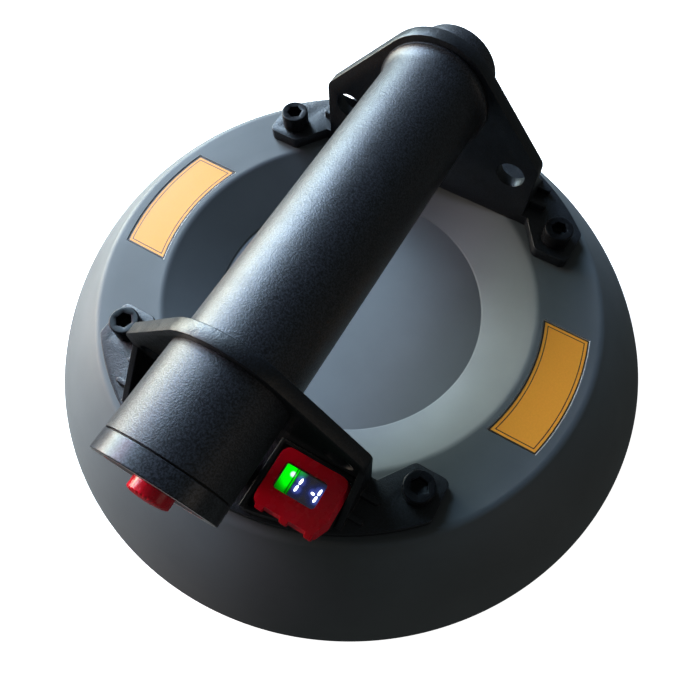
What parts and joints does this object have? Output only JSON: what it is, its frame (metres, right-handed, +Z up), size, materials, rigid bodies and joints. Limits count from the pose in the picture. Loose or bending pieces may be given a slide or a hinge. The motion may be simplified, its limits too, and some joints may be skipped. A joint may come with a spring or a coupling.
{
  "type": "vacuum cup lifter",
  "caption": "Handheld vacuum lifter for floor tiles: round rubber cup, two cast brackets and a tube handle that holds a vacuum pump, with a push button and a small display.",
  "frame": {"origin": "centre of the cup's rim, on the surface the cup rests on", "axes": "+Z up; the handle runs along Y with the power button at its -Y end; +X to the right, the display's side"},
  "size_m": [0.2286, 0.2286, 0.0997],
  "materials": {
    "cup_rubber": "matte moulded grey rubber, fine mould texture",
    "seal_foam": "black closed-cell foam rubber",
    "black_rubber": "black rubber",
    "zinc_steel": "zinc plated steel",
    "bracket_black": "satin black powder coat with bright worn edges",
    "black_oxide": "black oxide steel",
    "handle_black": "bead blasted, black anodised aluminium",
    "cap_black": "turned and black anodised aluminium, smooth satin",
    "red_plastic": "glossy red moulded plastic",
    "black_plastic": "matte black moulded plastic",
    "board_green": "green circuit board with solder mask",
    "brass_fitting": "machined brass",
    "clear_lens": "clear polished lens",
    "digit_block": "dark display block with white lit segments",
    "green_light": "lit green diffuser",
    "motor_can": "drawn steel can",
    "pump_plastic": "dark glass-filled plastic",
    "cell_sleeve": "blue shrink sleeve",
    "lead_red": "insulated wire"
  },
  "bodies": {
    "lifter": {"cup_pad": "cup_rubber", "sealing_ring": "seal_foam", "backing_ring": "zinc_steel", "weld_nuts": "zinc_steel", "mounting_screws": "black_oxide", "front_bracket": "bracket_black", "rear_bracket": "bracket_black", "handle_tube": "handle_black", "front_barrel": "handle_black", "front_end_cap": "cap_black", "indicator_ring": "red_plastic", "front_gasket": "black_rubber", "rear_end_cap": "handle_black", "rear_gasket": "black_rubber", "charge_port": "zinc_steel", "button_spring": "zinc_steel", "button_switch": "black_plastic", "control_board": "board_green", "pressure_sensor": "black_plastic", "check_valve": "pump_plastic", "pump_head": "pump_plastic", "pump_motor": "motor_can", "pump_mounts": "black_rubber", "battery_cell": "cell_sleeve", "battery_contacts": "brass_fitting", "battery_holder": "black_plastic", "battery_leads": "lead_red", "tie_screws": "zinc_steel", "cup_port": "brass_fitting", "port_nut": "brass_fitting", "air_filter": "black_plastic", "tube_port": "brass_fitting", "vacuum_hose": "black_rubber", "display_housing": "black_plastic", "display_board": "board_green", "display_digits": "digit_block", "battery_light": "green_light", "display_window": "clear_lens", "display_bezel": "red_plastic"},
    "button": {"power_button": "red_plastic"},
    "crank": {"pump_crank": "zinc_steel"}
  },
  "joints": [
    {"name": "button_press", "type": "slide", "parent": "lifter", "child": "button", "axis": [0, 1, 0], "range_m": [0, 0.002], "stiffness_N_per_m": 600, "springref_m": -0.004, "deforming": ["button_spring"]},
    {"name": "pump_spin", "type": "hinge", "parent": "lifter", "child": "crank", "pos_m": [0, -0.05, 0.0785], "axis": [0, 1, 0], "continuous": true}
  ]
}
